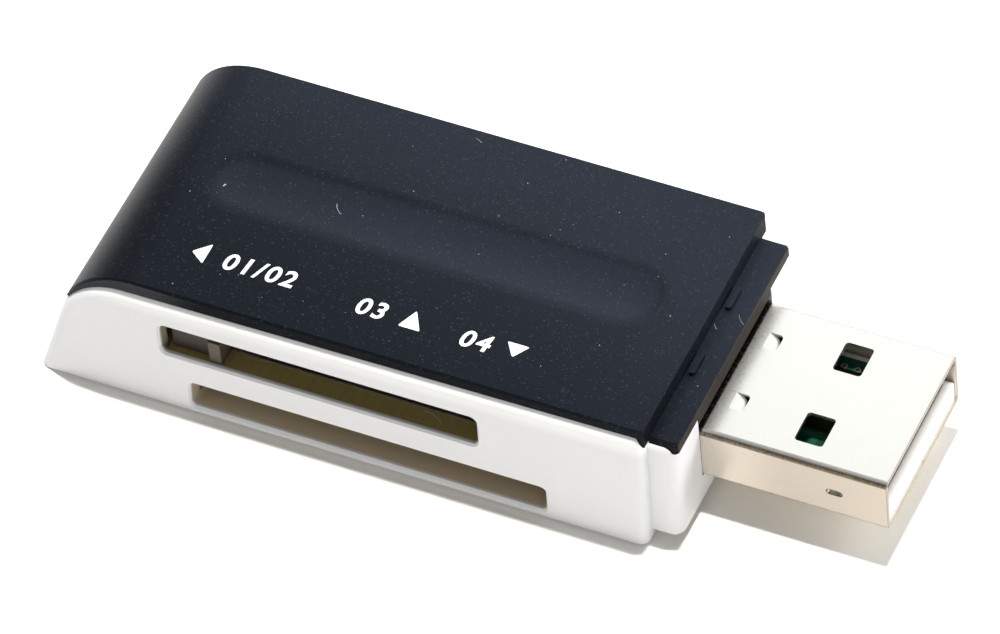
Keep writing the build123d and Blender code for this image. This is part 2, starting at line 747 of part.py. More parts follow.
# Narrow-card frame on top of the board
with BuildPart() as narrow_frame:
    with BuildSketch(Plane.XY.offset(board_top_z)) as frame_plan:
        with Locations((narrow_left_x - rail_width / 2, (frame_front_y + board_half_width) / 2)):
            Rectangle(rail_width, board_half_width - frame_front_y)
        with Locations((narrow_right_x + rail_gap + rail_width / 2, 0)):
            Rectangle(rail_width, 2 * (board_half_width - rail_inset))
        with Locations((narrow_bay_x, (narrow_stop_y + board_half_width) / 2)):
            Rectangle(narrow_bay + 2 * rail_width, board_half_width - narrow_stop_y)
    extrude(amount=frame_top_z - board_top_z)
    with BuildSketch(Plane.XY.offset(narrow_slot_foot_z + wing_lift)) as frame_wing:
        wing_x = narrow_left_x - rail_width - wing_length / 2
        wing_y = frame_front_y - nose_reach + wing_setback + wing_depth / 2
        with Locations((wing_x, wing_y)):
            Rectangle(wing_length, wing_depth)
    extrude(amount=narrow_slot_height - 2 * wing_lift)
    with BuildSketch(Plane.XY.offset(board_top_z)) as frame_nose:
        with Locations((narrow_left_x - rail_width / 2, frame_front_y - nose_reach / 2)):
            Rectangle(rail_width, nose_reach)
    extrude(amount=narrow_slot_rise + narrow_slot_height - nose_drop)
    with BuildSketch(Plane.XY.offset(board_top_z)) as frame_grooves:
        with Locations((narrow_bay_x, narrow_stop_y)):
            with GridLocations(narrow_pitch, 1, narrow_leaves_count, 1):
                Rectangle(groove_width, narrow_groove_length)
    extrude(amount=narrow_leaf_rise, mode=Mode.SUBTRACT)
narrow_frame.part.label = "narrow_card_frame"
export_step(narrow_frame.part, "parts/narrow_card_frame.step")

with BuildPart() as narrow_leaf:
    narrow_leaf_y = narrow_stop_y + narrow_groove_length / 2
    narrow_leaf_z = board_top_z + leaf_sheet / 2
    narrow_bow_y = narrow_leaf_y - narrow_leaf_run - narrow_leaf_reach
    with BuildSketch(Plane.YZ) as narrow_leaf_side:
        with BuildLine():
            Polyline(
                (narrow_leaf_y, narrow_leaf_z),
                (narrow_leaf_y - narrow_leaf_run, narrow_leaf_z),
                (narrow_bow_y, board_top_z + narrow_leaf_rise),
                (narrow_bow_y - narrow_leaf_tip, board_top_z + narrow_leaf_rise / 2),
            )
        trace(line_width=leaf_sheet)
    extrude(amount=leaf_width / 2, both=True)
with BuildPart() as narrow_leaves:
    with Locations((narrow_bay_x, 0)):
        with GridLocations(narrow_pitch, 1, narrow_leaves_count, 1):
            add(narrow_leaf.part)
narrow_leaves.part.label = "narrow_card_contacts"
export_step(narrow_leaves.part, "parts/narrow_card_contacts.step")

# Stamped guide plate the narrow card slides on, and the sheet over the frame
guide_front_y = guide_front_gap - inner_half_width
guide_back_y = narrow_stop_y - guide_back_gap
with BuildPart() as guide_plate:
    with BuildSketch(Plane.XY.offset(board_top_z)) as guide_plan:
        with Locations((narrow_bay_x, (guide_front_y + guide_back_y) / 2)):
            Rectangle(narrow_bay - 2 * guide_inset, guide_back_y - guide_front_y)
            with GridLocations(narrow_bay / 2, 1, 2, 1):
                Rectangle(*guide_window, mode=Mode.SUBTRACT)
    extrude(amount=guide_sheet)
guide_plate.part.label = "narrow_card_guide"
export_step(guide_plate.part, "parts/narrow_card_guide.step")

with BuildPart() as frame_lid:
    lid_left_x = narrow_left_x - rail_width + lid_inset
    lid_right_x = narrow_right_x + rail_width
    lid_front_y = lid_front_gap - inner_half_width
    lid_back_y = inner_half_width - lid_back_gap
    with BuildSketch(Plane.XY.offset(frame_top_z)) as lid_plan:
        with Locations(((lid_left_x + lid_right_x) / 2, (lid_front_y + lid_back_y) / 2)):
            Rectangle(lid_right_x - lid_left_x, lid_back_y - lid_front_y)
        chamfer(lid_plan.vertices(), lid_corner)
        with Locations(((lid_left_x + lid_right_x) / 2, (lid_front_y + lid_back_y) / 2)):
            with GridLocations(narrow_bay / 2, 1, 2, 1):
                Rectangle(*lid_slot, mode=Mode.SUBTRACT)
    extrude(amount=guide_sheet)
frame_lid.part.label = "narrow_card_lid"
export_step(frame_lid.part, "parts/narrow_card_lid.step")


# Rear socket below the board: plastic base, folded steel shell and leaf contacts
lower_width = lower_card[0] + 2 * card_clearance
lower_pitch = lower_width / (lower_leaves_count + 2)
lower_top_z = board_foot_z
lower_bed_z = lower_slot_z - lower_card[1] / 2 - card_clearance
lower_base_z = lower_bed_z - socket_base
with BuildPart() as lower_base:
    with BuildSketch(Plane.XY.offset(lower_base_z)) as lower_base_plan:
        with Locations((socket_x, 0)):
            Rectangle(socket_depth, lower_width)
        with Locations((groove_x, 0)):
            with GridLocations(1, lower_pitch, 1, lower_leaves_count):
                Rectangle(groove_front_x - groove_rear_x, socket_groove_width, mode=Mode.SUBTRACT)
    extrude(amount=socket_base)
    with BuildSketch(Plane.XY.offset(lower_bed_z)) as lower_stop:
        with Locations((socket_front_x - socket_stop / 2, 0)):
            Rectangle(socket_stop, lower_width)
    extrude(amount=lower_top_z - socket_sheet - lower_bed_z)
lower_base.part.label = "lower_socket_base"
export_step(lower_base.part, "parts/lower_socket_base.step")

with BuildPart() as lower_shell:
    with BuildSketch(Plane.YZ.offset(socket_rear_x)) as lower_shell_side:
        with Locations((0, (lower_top_z + lower_base_z) / 2)):
            Rectangle(lower_width + 2 * socket_sheet, lower_top_z - lower_base_z)
        with Locations((0, (lower_top_z + lower_base_z) / 2 - socket_sheet)):
            Rectangle(lower_width, lower_top_z - lower_base_z, mode=Mode.SUBTRACT)
    extrude(amount=socket_depth)
lower_shell.part.label = "lower_socket_shell"
export_step(lower_shell.part, "parts/lower_socket_shell.step")

with BuildPart() as lower_leaf:
    socket_heel_x = groove_front_x - socket_leaf_run
    socket_bow_x = socket_heel_x - socket_leaf_reach
    with BuildSketch(Plane.XZ) as lower_leaf_side:
        with BuildLine():
            Polyline(
                (groove_front_x, lower_base_z + leaf_sheet / 2),
                (socket_heel_x, lower_base_z + leaf_sheet / 2),
                (socket_bow_x, lower_bed_z + socket_leaf_rise),
                (socket_bow_x - socket_leaf_tip, lower_bed_z + socket_leaf_dip),
            )
        trace(line_width=leaf_sheet)
    extrude(amount=socket_leaf_width / 2, both=True)
with BuildPart() as lower_leaves:
    with GridLocations(1, lower_pitch, 1, lower_leaves_count):
        add(lower_leaf.part)
lower_leaves.part.label = "lower_socket_contacts"
export_step(lower_leaves.part, "parts/lower_socket_contacts.step")

# Rear socket above the board, made the same way
upper_width = upper_card[0] + 2 * card_clearance
upper_pitch = upper_width / (upper_leaves_count + 2)
upper_bed_z = board_top_z + socket_base
upper_top_z = upper_slot_z + upper_card[1] / 2 + card_clearance + socket_sheet
with BuildPart() as upper_base:
    with BuildSketch(Plane.XY.offset(board_top_z)) as upper_base_plan:
        with Locations((socket_x, 0)):
            Rectangle(socket_depth, upper_width)
        with Locations((groove_x, 0)):
            with GridLocations(1, upper_pitch, 1, upper_leaves_count):
                Rectangle(groove_front_x - groove_rear_x, socket_groove_width, mode=Mode.SUBTRACT)
    extrude(amount=socket_base)
    with BuildSketch(Plane.XY.offset(upper_bed_z)) as upper_stop:
        with Locations((socket_front_x - socket_stop / 2, 0)):
            Rectangle(socket_stop, upper_width)
    extrude(amount=upper_top_z - socket_sheet - upper_bed_z)
upper_base.part.label = "upper_socket_base"
export_step(upper_base.part, "parts/upper_socket_base.step")

with BuildPart() as upper_shell:
    with BuildSketch(Plane.YZ.offset(socket_rear_x)) as upper_shell_side:
        with Locations((0, (upper_top_z + board_top_z) / 2)):
            Rectangle(upper_width + 2 * socket_sheet, upper_top_z - board_top_z)
        with Locations((0, (upper_top_z + board_top_z) / 2 - socket_sheet)):
            Rectangle(upper_width, upper_top_z - board_top_z, mode=Mode.SUBTRACT)
    extrude(amount=socket_depth)
upper_shell.part.label = "upper_socket_shell"
export_step(upper_shell.part, "parts/upper_socket_shell.step")

with BuildPart() as upper_leaf:
    with BuildSketch(Plane.XZ) as upper_leaf_side:
        with BuildLine():
            Polyline(
                (groove_front_x, board_top_z + leaf_sheet / 2),
                (socket_heel_x, board_top_z + leaf_sheet / 2),
                (socket_bow_x, upper_bed_z + socket_leaf_rise),
                (socket_bow_x - socket_leaf_tip, upper_bed_z + socket_leaf_dip),
            )
        trace(line_width=leaf_sheet)
    extrude(amount=socket_leaf_width / 2, both=True)
with BuildPart() as upper_leaves:
    with GridLocations(1, upper_pitch, 1, upper_leaves_count):
        add(upper_leaf.part)
upper_leaves.part.label = "upper_socket_contacts"
export_step(upper_leaves.part, "parts/upper_socket_contacts.step")


# Controller chip with its two rows of leads
chip_foot_z = board_top_z + chip_standoff
chip_top_z = chip_foot_z + chip_size[2]
with BuildPart() as chip:
    with Locations((chip_x, chip_y, (chip_foot_z + chip_top_z) / 2)):
        Box(*chip_size)
    chamfer(chip.faces().sort_by(Axis.Z)[-1].edges(), chip_bevel)
chip.part.label = "controller_chip"
export_step(chip.part, "parts/controller_chip.step")

with BuildPart() as lead:
    lead_knee_x = chip_size[0] / 2 + lead_shoulder
    with BuildSketch(Plane.XZ) as lead_side:
        with BuildLine():
            Polyline(
                (chip_size[0] / 2, board_top_z + lead_height),
                (lead_knee_x, board_top_z + lead_height),
                (lead_knee_x + lead_slope, board_top_z + lead_sheet / 2),
                (lead_span / 2, board_top_z + lead_sheet / 2),
            )
        trace(line_width=lead_sheet)
    extrude(amount=lead_width / 2, both=True)
with BuildPart() as leads:
    with Locations(Location((chip_x, chip_y, 0)), Location((chip_x, chip_y, 0), (0, 0, 180))):
        with GridLocations(1, lead_pitch, 1, lead_count):
            add(lead.part)
leads.part.label = "controller_leads"
export_step(leads.part, "parts/controller_leads.step")

# Crystal can on its ceramic base
with BuildPart() as crystal:
    crystal_cap_z = board_top_z + crystal_base[2] + crystal_cap[2] / 2
    with Locations((chip_x - crystal_shift, crystal_y, board_top_z + crystal_base[2] / 2)):
        Box(*crystal_base)
    with Locations((chip_x - crystal_shift, crystal_y, crystal_cap_z)):
        Box(*crystal_cap)
    chamfer(crystal.edges().filter_by(Axis.Z), crystal_corner)
crystal.part.label = "crystal"
export_step(crystal.part, "parts/crystal.step")

# Capacitors and resistors at the two ends of the chip
with BuildPart() as capacitors:
    with Locations((chip_x - crystal_shift, capacitor_y, board_top_z + capacitor_size[2] / 2)):
        with GridLocations(capacitor_pitch, 1, 3, 1):
            Box(*capacitor_size)
capacitors.part.label = "capacitors"
export_step(capacitors.part, "parts/capacitors.step")

with BuildPart() as resistors:
    with Locations((chip_x, resistor_y, board_top_z + resistor_size[2] / 2)):
        with GridLocations(resistor_pitch, 1, 2, 1):
            Box(*resistor_size)
resistors.part.label = "resistors"
export_step(resistors.part, "parts/resistors.step")
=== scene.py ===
# %% [markdown]
# # A pocket card reader, dressed for its picture
# The solids come from the part's own model: a light moulded tray, a dark textured
# cover, a folded metal plug and the board between them. Their shapes are already
# right, so this lesson adds what a solid can't hold: camera, light, surface finishes,
# printed marks, plated holes and a little dust. Lengths are in metres, and mm helps
# to write them the way a maker would say them.

# %% Load the solids
import json

import bmesh
import bpy
from mathutils import Matrix, Vector


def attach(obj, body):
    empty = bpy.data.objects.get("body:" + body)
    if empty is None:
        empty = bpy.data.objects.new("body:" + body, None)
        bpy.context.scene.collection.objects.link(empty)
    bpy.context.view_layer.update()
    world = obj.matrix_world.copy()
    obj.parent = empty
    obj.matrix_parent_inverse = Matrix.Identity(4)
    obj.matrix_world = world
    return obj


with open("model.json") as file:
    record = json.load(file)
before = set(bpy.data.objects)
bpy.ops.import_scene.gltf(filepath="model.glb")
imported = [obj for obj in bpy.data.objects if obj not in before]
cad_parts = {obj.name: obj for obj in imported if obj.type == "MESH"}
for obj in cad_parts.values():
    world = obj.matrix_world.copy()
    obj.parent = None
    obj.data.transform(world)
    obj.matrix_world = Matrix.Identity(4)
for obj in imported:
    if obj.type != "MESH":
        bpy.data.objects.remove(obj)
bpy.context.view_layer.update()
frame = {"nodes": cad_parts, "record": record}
nodes = frame["nodes"]
mm = 0.001

# %% [markdown]
# ## Camera
# A camera can be placed by eye, but here the picture's own perspective was solved from
# the plug, whose size is standard. That gives three directions: right, down and forward
# in the picture. Blender's camera looks along its own -Z with +Y up, so down and
# forward change sign. The lens is long, as for a small object seen from half a metre.

# %% Camera
view_right = Vector((0.9091941, 0.40996059, -0.07279017))
view_down = Vector((0.26611474, -0.70659573, -0.65567173))
view_forward = Vector((-0.32023279, 0.57676233, -0.75152922))
eye = Vector((0.182844, -0.330096, 0.435218))

lens = bpy.data.cameras.new("camera")
lens.sensor_fit = "HORIZONTAL"
lens.sensor_width = 36.0
lens.lens = 36.0 * 8.6616
lens.clip_start = 0.01
lens.clip_end = 20.0
camera = bpy.data.objects.new("camera", lens)
turn = Matrix((view_right, -view_down, -view_forward)).transposed().to_4x4()
camera.matrix_world = Matrix.Translation(eye) @ turn
bpy.context.scene.collection.objects.link(camera)
bpy.context.scene.camera = camera
bpy.context.scene.view_settings.view_transform = "Standard"
print("camera at", [round(v, 3) for v in eye], "lens", round(lens.lens, 1), "mm")

# %% [markdown]
# ## Shader maths in plain Python
# Every finish below is a small graph of nodes. Writing each link by hand hides the idea,
# so one class wraps a socket and lets +, -, * and / add Math nodes, and another class
# adds any other node from its type, its settings and its sockets. The same class builds
# materials, the sky and the Geometry Nodes trees.

# %% Wires and recipes
class Wire:
    """An output socket that takes part in sums."""

    def __init__(self, recipe, socket):
        self.recipe = recipe
        self.socket = socket

    def sum_of(self, operation, first, second):
        return self.recipe.node("ShaderNodeMath", {"operation": operation}, {0: first, 1: second})

    def __add__(self, other):
        return self.sum_of("ADD", self, other)

    def __radd__(self, other):
        return self.sum_of("ADD", other, self)

    def __sub__(self, other):
        return self.sum_of("SUBTRACT", self, other)

    def __rsub__(self, other):
        return self.sum_of("SUBTRACT", other, self)

    def __mul__(self, other):
        return self.sum_of("MULTIPLY", self, other)

    def __rmul__(self, other):
        return self.sum_of("MULTIPLY", other, self)


class Recipe:
    """Adds nodes to one tree: a type, its settings, then the values or links of its sockets."""

    def __init__(self, tree):
        self.tree = tree

    def node(self, kind, settings=(), sockets=(), output=0):
        made = self.tree.nodes.new(kind)
        for name, value in dict(settings).items():
            setattr(made, name, value)
        for name, value in dict(sockets).items():
            if isinstance(value, Wire):
                self.tree.links.new(value.socket, made.inputs[name])
            else:
                made.inputs[name].default_value = value
        return Wire(self, made.outputs[output]) if len(made.outputs) else made

    def place(self):
        return self.node("ShaderNodeTexCoord", output="Object")

    def stretched(self, place, scale, angle=0.0):
        sockets = {"Vector": place, "Scale": scale, "Rotation": (0, 0, angle)}
        return self.node("ShaderNodeMapping", {}, sockets)

    def noise(self, place, scale, detail=2.0, rough=0.5):
        sockets = {"Vector": place, "Scale": scale, "Detail": detail, "Roughness": rough}
        return self.node("ShaderNodeTexNoise", {}, sockets)

    def cells(self, place, scale, output="Distance"):
        return self.node("ShaderNodeTexVoronoi", {}, {"Vector": place, "Scale": scale}, output)

    def step(self, value, low, high, start=0.0, end=1.0):
        sockets = {"Value": value, "From Min": low, "From Max": high, "To Min": start, "To Max": end}
        return self.node("ShaderNodeMapRange", {"interpolation_type": "SMOOTHSTEP"}, sockets)

    def axis(self, place, letter):
        return self.node("ShaderNodeSeparateXYZ", {}, {"Vector": place}, output=letter)

    def tint(self, share, first, second):
        sockets = {0: share, 6: first, 7: second}
        return self.node("ShaderNodeMix", {"data_type": "RGBA"}, sockets, output=2)

    def bump(self, height, depth, strength=1.0, before=None):
        sockets = {"Height": height, "Distance": depth, "Strength": strength}
        if before is not None:
            sockets["Normal"] = before
        return self.node("ShaderNodeBump", {}, sockets)


def rgb(red, green, blue):
    return (red, green, blue, 1.0)


def new_finish(name):
    """A material with one empty Principled shader, and the recipe that fills it."""
    material = bpy.data.materials.new(name)
    material.use_nodes = True
    material.node_tree.nodes.clear()
    return material, Recipe(material.node_tree)


def skin(recipe, **sockets):
    """One shader: its own numbers are set, what varies is linked."""
    names = {key.replace("_", " "): value for key, value in sockets.items()}
    return recipe.node("ShaderNodeBsdfPrincipled", {}, names)


def coat(recipe, **sockets):
    """Ends a finish that has a single shader."""
    recipe.node("ShaderNodeOutputMaterial", {}, {"Surface": skin(recipe, **sockets)})


print("recipe helpers:", [name for name in vars(Recipe) if not name.startswith("_")])

# %% [markdown]
# ## Floor and light
# The picture was taken on white card. The shadow on the card tells where the light is: it
# is narrow, even and sharp, so a small lamp hangs almost straight above, a little behind.
# The cover tells the rest. The end of the finger recess that faces right is bright and
# its far wall is dark, so a wide panel stands behind and a smaller one on the right, and
# the ceiling is dim. The card is faintly warm, which only its shadows show. The small lamp
# and the right panel light the part but are hidden from reflections, because the cover
# in the picture shows no mirror image of them. A weak glint lamp stands in above.

# %% Floor
def mesh_piece(name, mesh, material, slot=None):
    """A finished piece at the origin, riding on the one body of the part when a slot is given."""
    piece = bpy.data.objects.new(name, mesh)
    bpy.context.scene.collection.objects.link(piece)
    mesh.materials.clear()
    mesh.materials.append(material)
    if slot:
        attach(piece, "root")
    return piece


card, recipe = new_finish("white_card")
place = recipe.place()
fibre = recipe.noise(place, 900.0, 4.0, 0.6)
coat(
    recipe,
    Base_Color=recipe.tint(fibre, rgb(0.87, 0.845, 0.8), rgb(0.9, 0.878, 0.835)),
    Roughness=0.9,
    Specular_IOR_Level=0.1,
)
shape = bmesh.new()
bmesh.ops.create_grid(shape, x_segments=8, y_segments=8, size=1.5)
floor_mesh = bpy.data.meshes.new("floor")
shape.to_mesh(floor_mesh)
shape.free()
floor = mesh_piece("floor", floor_mesh, card)
print("floor", round(floor.dimensions.x, 2), "m wide")

# %% Sky and lamps
sky = bpy.data.worlds.new("studio")
bpy.context.scene.world = sky
sky.use_nodes = True
sky.node_tree.nodes.clear()
recipe = Recipe(sky.node_tree)
look = recipe.node("ShaderNodeTexCoord", output="Generated")
low_down = recipe.step(recipe.axis(look, "Z"), 0.15, 0.6, 1.0, 0.0)
pale_front = low_down * recipe.step(recipe.axis(look, "Y"), -0.9, -0.1, 1.0, 0.0)
pale_right = low_down * recipe.step(recipe.axis(look, "X"), 0.1, 0.9)
air = recipe.tint(pale_front, rgb(0.93, 0.97, 1.0), rgb(1.0, 0.93, 0.86))
level = 0.32 + 0.5 * pale_front + 0.4 * pale_right
light = recipe.node("ShaderNodeBackground", {}, {"Color": air, "Strength": level})
recipe.node("ShaderNodeOutputWorld", {}, {"Surface": light})


def hang_lamp(name, shape, size, watts, colour, toward, distance, glossy=True):
    """An area lamp that faces the object from a direction."""
    lamp_data = bpy.data.lights.new(name, "AREA")
    lamp_data.shape = shape
    lamp_data.size, lamp_data.size_y = size
    lamp_data.energy = watts
    lamp_data.color = colour
    lamp = bpy.data.objects.new(name, lamp_data)
    lamp.location = Vector(toward).normalized() * distance
    lamp.rotation_euler = (-lamp.location).to_track_quat("-Z", "Y").to_euler()
    lamp.visible_glossy = glossy
    bpy.context.scene.collection.objects.link(lamp)
    print(name, "at", [round(v, 2) for v in lamp.location], watts, "W")


above = (0.02, 0.12, 1.0)
warm = (1.0, 0.98, 0.955)
hang_lamp("high_lamp", "DISK", (0.03, 0.03), 6.5, warm, above, 0.8, glossy=False)
hang_lamp("high_glint", "DISK", (0.03, 0.03), 0.5, warm, above, 0.8)
hang_lamp("back_panel", "RECTANGLE", (0.67, 0.34), 0.85, (0.88, 0.95, 1.0), (0.053, 0.764, 0.643), 0.5)
side = (1.0, 0.98, 0.96)
hang_lamp("right_panel", "RECTANGLE", (0.3, 0.24), 1.6, side, (0.78, 0.56, 0.42), 0.5, glossy=False)

# %% [markdown]
# ## Dark cover
# The cover is moulded in a mould whose steel was eroded by sparks, which leaves a fine
# pitted grain. A bump from noise of about 0.15 mm gives the grain, a few cells catch the
# light as sparkles that are also painted lighter as painted glints, and a broad noise keeps
# the large face from looking flat. The far and plug side is painted greyer and the finger
# recess lighter still, as painted light, the front face of the neck tab carries a painted
# reflection of the plug, and the steep edges hardly shine. Masks from the place on the part
# do that: the painted light mixes into the colour, and the steep edges mix in a duller
# version of the same skin.

# %% Dark cover finish
cover_black, recipe = new_finish("cover_black")
place = recipe.place()
grain = recipe.noise(place, 6500.0, 2.0, 0.65)
cloud = recipe.noise(place, 140.0, 3.0, 0.55)
pick = recipe.cells(place, 10500.0, "Color")
spark = recipe.step(recipe.axis(pick, "X"), 0.955, 0.985)
worn = recipe.stretched(place, (260.0, 9000.0, 2600.0), 0.9)
hairline = recipe.step(recipe.noise(worn, 1.0, 3.0, 0.7), 0.73, 0.78)
along = recipe.axis(place, "X")
across = recipe.axis(place, "Y")
height = recipe.axis(place, "Z")
hollow = recipe.step(height, 10.6 * mm, 10.76 * mm, 1.0, 0.0) * recipe.step(height, 10.4 * mm, 10.45 * mm)
hollow = hollow * recipe.step(across, -2.4 * mm, -2.0 * mm)
hollow = hollow * recipe.step(across, 3.0 * mm, 3.4 * mm, 1.0, 0.0)
hollow = hollow * recipe.step(along, -21.7 * mm, -21.3 * mm)
# painted light: the far and plug side is painted greyer, the finger recess lighter
painted_far_light = recipe.step(across + 0.3 * along, -14.0 * mm, 12.0 * mm) * (0.7 + 0.6 * cloud)
painted_light_share = painted_far_light * (0.35 + 1.3 * grain) + 0.45 * hollow
shade = recipe.tint(cloud, rgb(0.0016, 0.0022, 0.0036), rgb(0.003, 0.0038, 0.0056))
shade = recipe.tint(painted_light_share, shade, rgb(0.0125, 0.015, 0.0215))
# painted reflection: the front face of the neck tab is painted brown-grey, like the plug mirrored in it
painted_tab_reflection = recipe.step(along, 16.6 * mm, 16.64 * mm) * (0.4 + cloud)
shade = recipe.tint(painted_tab_reflection, shade, rgb(0.05, 0.041, 0.035))
# painted glints: a few grain cells are painted lighter
shade = recipe.tint(spark * 0.18, shade, rgb(0.1, 0.11, 0.13))
shade = recipe.tint(hairline * 0.1, shade, rgb(0.06, 0.065, 0.075))
relief = recipe.bump(grain + 0.1 * spark, 0.02 * mm, 0.75)
satin = skin(
    recipe,
    Base_Color=shade,
    Roughness=0.32 + 0.06 * cloud + 0.16 * grain - 0.04 * spark,
    Specular_IOR_Level=0.24,
    Specular_Tint=rgb(0.64, 0.77, 1.0),
    Normal=relief,
)
dull = skin(
    recipe,
    Base_Color=shade,
    Roughness=0.6 + 0.1 * grain,
    Specular_IOR_Level=0.04,
    Normal=relief,
)
facing = recipe.axis(recipe.node("ShaderNodeNewGeometry", output="Normal"), "Z")
steep = recipe.step(facing, 0.45, 0.8, 1.0, 0.0) * recipe.step(along, -21.0 * mm, -17.0 * mm)
mixed = recipe.node("ShaderNodeMixShader", {}, {0: steep * 0.85, 1: satin, 2: dull})
recipe.node("ShaderNodeOutputMaterial", {}, {"Surface": mixed})
print("cover finish:", len(cover_black.node_tree.nodes), "nodes")

# %% [markdown]
# ## Light housing
# The tray is a pale grey-white plastic with a satin skin. Its grain is much finer than
# the cover's. Handling leaves the skin a little uneven, so roughness drifts by noise.
# The upper rim is painted lighter as painted light, and the lowest edge darker as painted
# shade near the floor. Inside the slots the plastic sits in shade next to the bare board,
# and that warmer shade is painted into its colour.

# %% Light housing finish
housing_white, recipe = new_finish("housing_white")
place = recipe.place()
grain = recipe.noise(place, 7000.0, 2.0, 0.6)
cloud = recipe.noise(place, 180.0, 3.0, 0.6)
foot = recipe.step(recipe.axis(place, "Z"), 0.0, 0.7 * mm, 1.0, 0.0)
height = recipe.axis(place, "Z")
along = recipe.axis(place, "X")
behind_skin = recipe.step(recipe.axis(place, "Y") - 0.0419 * height, -10.8 * mm, -10.5 * mm)
behind_skin = behind_skin * recipe.step(recipe.axis(place, "Y"), -8.5 * mm, -8.0 * mm, 1.0, 0.0)
wide_slot = recipe.step(height, 2.8 * mm, 2.95 * mm, 1.0, 0.0) * recipe.step(height, 0.3 * mm, 0.45 * mm)
wide_slot = wide_slot * recipe.step(along, 7.6 * mm, 7.8 * mm, 1.0, 0.0)
wide_slot = wide_slot * recipe.step(along, -18.7 * mm, -18.5 * mm)
narrow_slot = recipe.step(height, 4.8 * mm, 4.95 * mm) * recipe.step(height, 7.7 * mm, 7.85 * mm, 1.0, 0.0)
narrow_slot = narrow_slot * recipe.step(along, 2.9 * mm, 3.1 * mm, 1.0, 0.0)
narrow_slot = narrow_slot * recipe.step(along, -20.6 * mm, -20.4 * mm)
shade = recipe.tint(cloud, rgb(0.785, 0.8, 0.83), rgb(0.82, 0.835, 0.862))
# painted light: the upper rim band is painted lighter
rim = recipe.step(height, 8.2 * mm, 9.4 * mm)
shade = recipe.tint(rim, shade, rgb(0.95, 0.955, 0.97))
# painted shade: the lowest edge is painted darker near the floor
shade = recipe.tint(foot * cloud * 0.4, shade, rgb(0.6, 0.58, 0.55))
# painted shade: the plastic inside both slots is painted warmer and darker
shade = recipe.tint(behind_skin * wide_slot * 0.9, shade, rgb(0.6, 0.47, 0.3))
shade = recipe.tint(behind_skin * narrow_slot * 0.85, shade, rgb(0.3, 0.26, 0.13))
coat(
    recipe,
    Base_Color=shade,
    Roughness=0.34 + 0.12 * cloud + 0.06 * grain,
    Specular_IOR_Level=0.45,
    Subsurface_Weight=0.04,
    Subsurface_Radius=(1.0, 1.0, 1.0),
    Subsurface_Scale=0.4 * mm,
    Normal=recipe.bump(grain, 0.006 * mm, 0.3),
)
print("housing finish:", len(housing_white.node_tree.nodes), "nodes")

# %% [markdown]
# ## Plated plug
# The plug is a stamped sheet with a bright warm plating. A mirror would be wrong: rolled
# sheet has faint lines along its length and a grain, strongest where it was pressed near
# the neck. So the shader is metal, its roughness follows a noise stretched along X, and
# a mask along X makes the neck end rougher and speckled. The long side is painted darker
# as painted shade and painted reflection, lighter towards the neck, with a painted dark
# reflection line just under the fold. The gap under the cover's tab and its mirror image
# are black as painted shade, and a mask paints that into the plating.

# %% Plated plug finish
plated_sheet, recipe = new_finish("plated_sheet")
place = recipe.place()
rolled = recipe.noise(recipe.stretched(place, (420.0, 6500.0, 6500.0)), 1.0, 3.0, 0.6)
grain = recipe.noise(place, 6500.0, 2.0, 0.65)
cloud = recipe.noise(place, 260.0, 3.0, 0.55)
along = recipe.axis(place, "X")
across = recipe.axis(place, "Y")
height = recipe.axis(place, "Z")
near_neck = recipe.step(along, 17.0 * mm, 18.2 * mm, 1.0, 0.0)
cut_edge = recipe.step(along, 29.71 * mm, 29.74 * mm)
side_wall = recipe.step(across, -5.97 * mm, -5.85 * mm, 1.0, 0.0)
fold = recipe.step(height, 6.76 * mm, 6.86 * mm) * recipe.step(height, 7.08 * mm, 7.16 * mm, 1.0, 0.0)
fold = fold * recipe.step(across, -5.75 * mm, -5.6 * mm, 1.0, 0.0) * (0.5 + grain)
under_tab = recipe.step(along + 0.15 * mm * grain, 16.8 * mm, 16.92 * mm, 1.0, 0.0)
by_neck = recipe.step(along, 17.0 * mm, 23.0 * mm, 1.0, 0.0)
speck = recipe.step(recipe.noise(place, 4200.0, 2.0, 0.7), 0.56, 0.66) * near_neck
shade = recipe.tint(cloud, rgb(0.925, 0.865, 0.78), rgb(0.96, 0.91, 0.83))
# painted shade and painted reflection: the long side is painted darker, lighter towards the neck
shade = recipe.tint(side_wall, shade, recipe.tint(by_neck, rgb(0.54, 0.49, 0.435), rgb(0.74, 0.68, 0.61)))
shade = recipe.tint(side_wall * grain * 0.3, shade, rgb(0.4, 0.345, 0.28))
# painted reflection: a dark line is painted just under the fold
shade = recipe.tint(fold * 0.9, shade, rgb(0.12, 0.095, 0.06))
# painted shade: the gap under the cover's tab and its mirror image are painted black
shade = recipe.tint(under_tab * (1.0 - side_wall) * 0.97, shade, rgb(0.02, 0.017, 0.014))
shade = recipe.tint(speck * 0.35, shade, rgb(0.42, 0.37, 0.3))
shade = recipe.tint(cut_edge * 0.75, shade, rgb(0.3, 0.25, 0.2))
coat(
    recipe,
    Base_Color=shade,
    Metallic=1.0,
    Roughness=0.24 + 0.04 * rolled + 0.05 * cloud + 0.12 * near_neck + 0.2 * cut_edge,
    Normal=recipe.bump(0.15 * rolled + grain + 1.5 * speck, 0.008 * mm, 0.25),
)
print("plug finish:", len(plated_sheet.node_tree.nodes), "nodes")

# %% [markdown]
# ## Board
# The board is green lacquer over copper tracks on a woven glass sheet. The lacquer stops
# short of the long near edge, where the bare olive laminate shows in the upper slot.
# Tracks are a brick pattern that only lifts the lacquer a little, and a fine weave
# shows in the bare strip.

